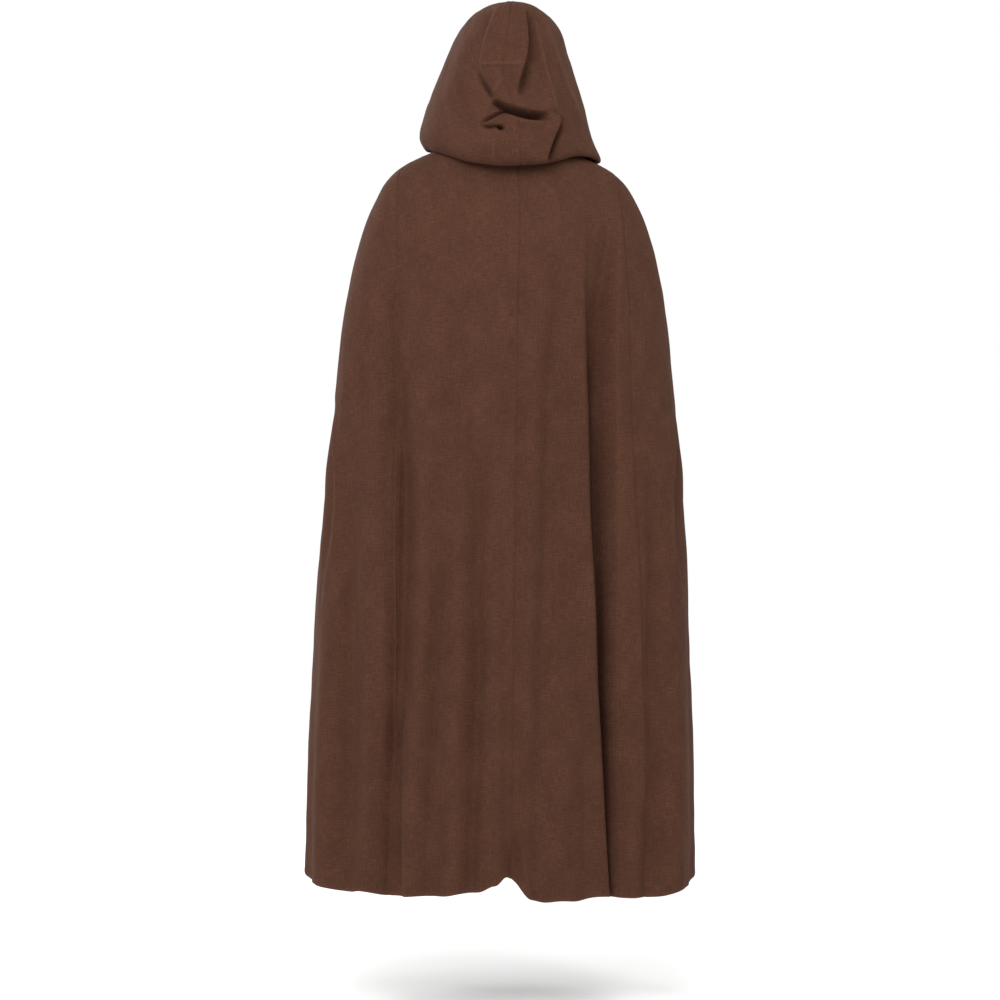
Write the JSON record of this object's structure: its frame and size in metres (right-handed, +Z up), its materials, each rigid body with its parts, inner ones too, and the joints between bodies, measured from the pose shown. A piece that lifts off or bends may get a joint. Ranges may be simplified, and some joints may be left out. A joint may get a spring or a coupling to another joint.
{
  "type": "hooded cloak, worn with the hood up",
  "caption": "Ankle-length brown woven cloak with a draped hood, hanging in soft vertical folds from the shoulders, open at the front and tied at the neck.",
  "frame": {"origin": "centre of the neck opening, level with the shoulder neck seam, where the wearer's neck and shoulders hold the cloak", "axes": "+Z up, -Y to the front where the cloak opens, +X to the wearer's left"},
  "size_m": [0.7328, 0.4534, 1.6603],
  "materials": {
    "cloth": "matte brown woven cloth with a fine grain",
    "tie": "the same cloth, folded and stitched to a narrow tie"
  },
  "bodies": {
    "root": {"back_left": "cloth", "back_right": "cloth", "front_left": "cloth", "front_right": "cloth", "hood_left": "cloth", "hood_right": "cloth", "tie_left": "tie", "tie_right": "tie", "tie_knot": "tie", "tie_tail_left": "tie", "tie_tail_right": "tie"}
  },
  "joints": []
}
